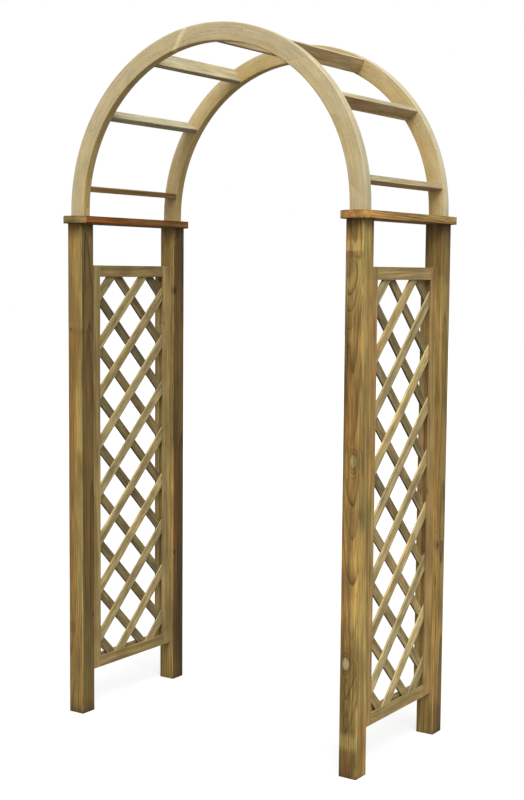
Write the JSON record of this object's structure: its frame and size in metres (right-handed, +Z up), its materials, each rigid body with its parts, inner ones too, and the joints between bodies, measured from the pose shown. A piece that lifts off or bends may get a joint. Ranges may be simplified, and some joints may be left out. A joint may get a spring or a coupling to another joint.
{
  "type": "garden arch",
  "caption": "Free-standing wooden garden arch with square posts, diagonal lattice side panels, clipped cap boards and half-round hoops joined by rungs.",
  "frame": {"origin": "on the ground, in the middle of the four posts", "axes": "+X across the walkway, +Y along the walkway from front to rear, +Z up"},
  "size_m": [1.364, 0.71, 2.634],
  "materials": {
    "post_timber": "pressure-treated softwood, planed, matt",
    "cap_timber": "pressure-treated softwood, planed, matt",
    "frame_timber": "pressure-treated softwood, planed, matt",
    "slat_timber": "pressure-treated softwood, sawn, matt",
    "hoop_timber": "pale pressure-treated softwood, planed, matt",
    "rung_timber": "pressure-treated softwood, planed, matt",
    "dowel_wood": "hardwood, turned",
    "zinc_steel": "zinc plated"
  },
  "bodies": {
    "root": {"cap_left": "cap_timber", "cap_right": "cap_timber", "cap_screws": "zinc_steel", "frame_corner_screws": "zinc_steel", "hoop_foot_dowels": "dowel_wood", "hoop_front_arc_1": "hoop_timber", "hoop_front_arc_2": "hoop_timber", "hoop_front_arc_3": "hoop_timber", "hoop_front_arc_4": "hoop_timber", "hoop_front_arc_5": "hoop_timber", "hoop_front_arc_6": "hoop_timber", "hoop_front_arc_7": "hoop_timber", "hoop_front_foot_left": "hoop_timber", "hoop_front_foot_right": "hoop_timber", "hoop_rear_arc_1": "hoop_timber", "hoop_rear_arc_2": "hoop_timber", "hoop_rear_arc_3": "hoop_timber", "hoop_rear_arc_4": "hoop_timber", "hoop_rear_arc_5": "hoop_timber", "hoop_rear_arc_6": "hoop_timber", "hoop_rear_arc_7": "hoop_timber", "hoop_rear_foot_left": "hoop_timber", "hoop_rear_foot_right": "hoop_timber", "lattice_left_falling_slats": "slat_timber", "lattice_left_rising_slats": "slat_timber", "lattice_pins_left": "zinc_steel", "lattice_pins_right": "zinc_steel", "lattice_right_falling_slats": "slat_timber", "lattice_right_rising_slats": "slat_timber", "panel_screws": "zinc_steel", "post_front_left": "post_timber", "post_front_right": "post_timber", "post_rear_left": "post_timber", "post_rear_right": "post_timber", "rail_left_bottom": "frame_timber", "rail_left_top": "frame_timber", "rail_right_bottom": "frame_timber", "rail_right_top": "frame_timber", "rung_1": "rung_timber", "rung_2": "rung_timber", "rung_3": "rung_timber", "rung_4": "rung_timber", "rung_5": "rung_timber", "rung_6": "rung_timber", "rung_7": "rung_timber", "rung_dowels": "dowel_wood", "stile_left_front": "frame_timber", "stile_left_rear": "frame_timber", "stile_right_front": "frame_timber", "stile_right_rear": "frame_timber"}
  },
  "joints": []
}
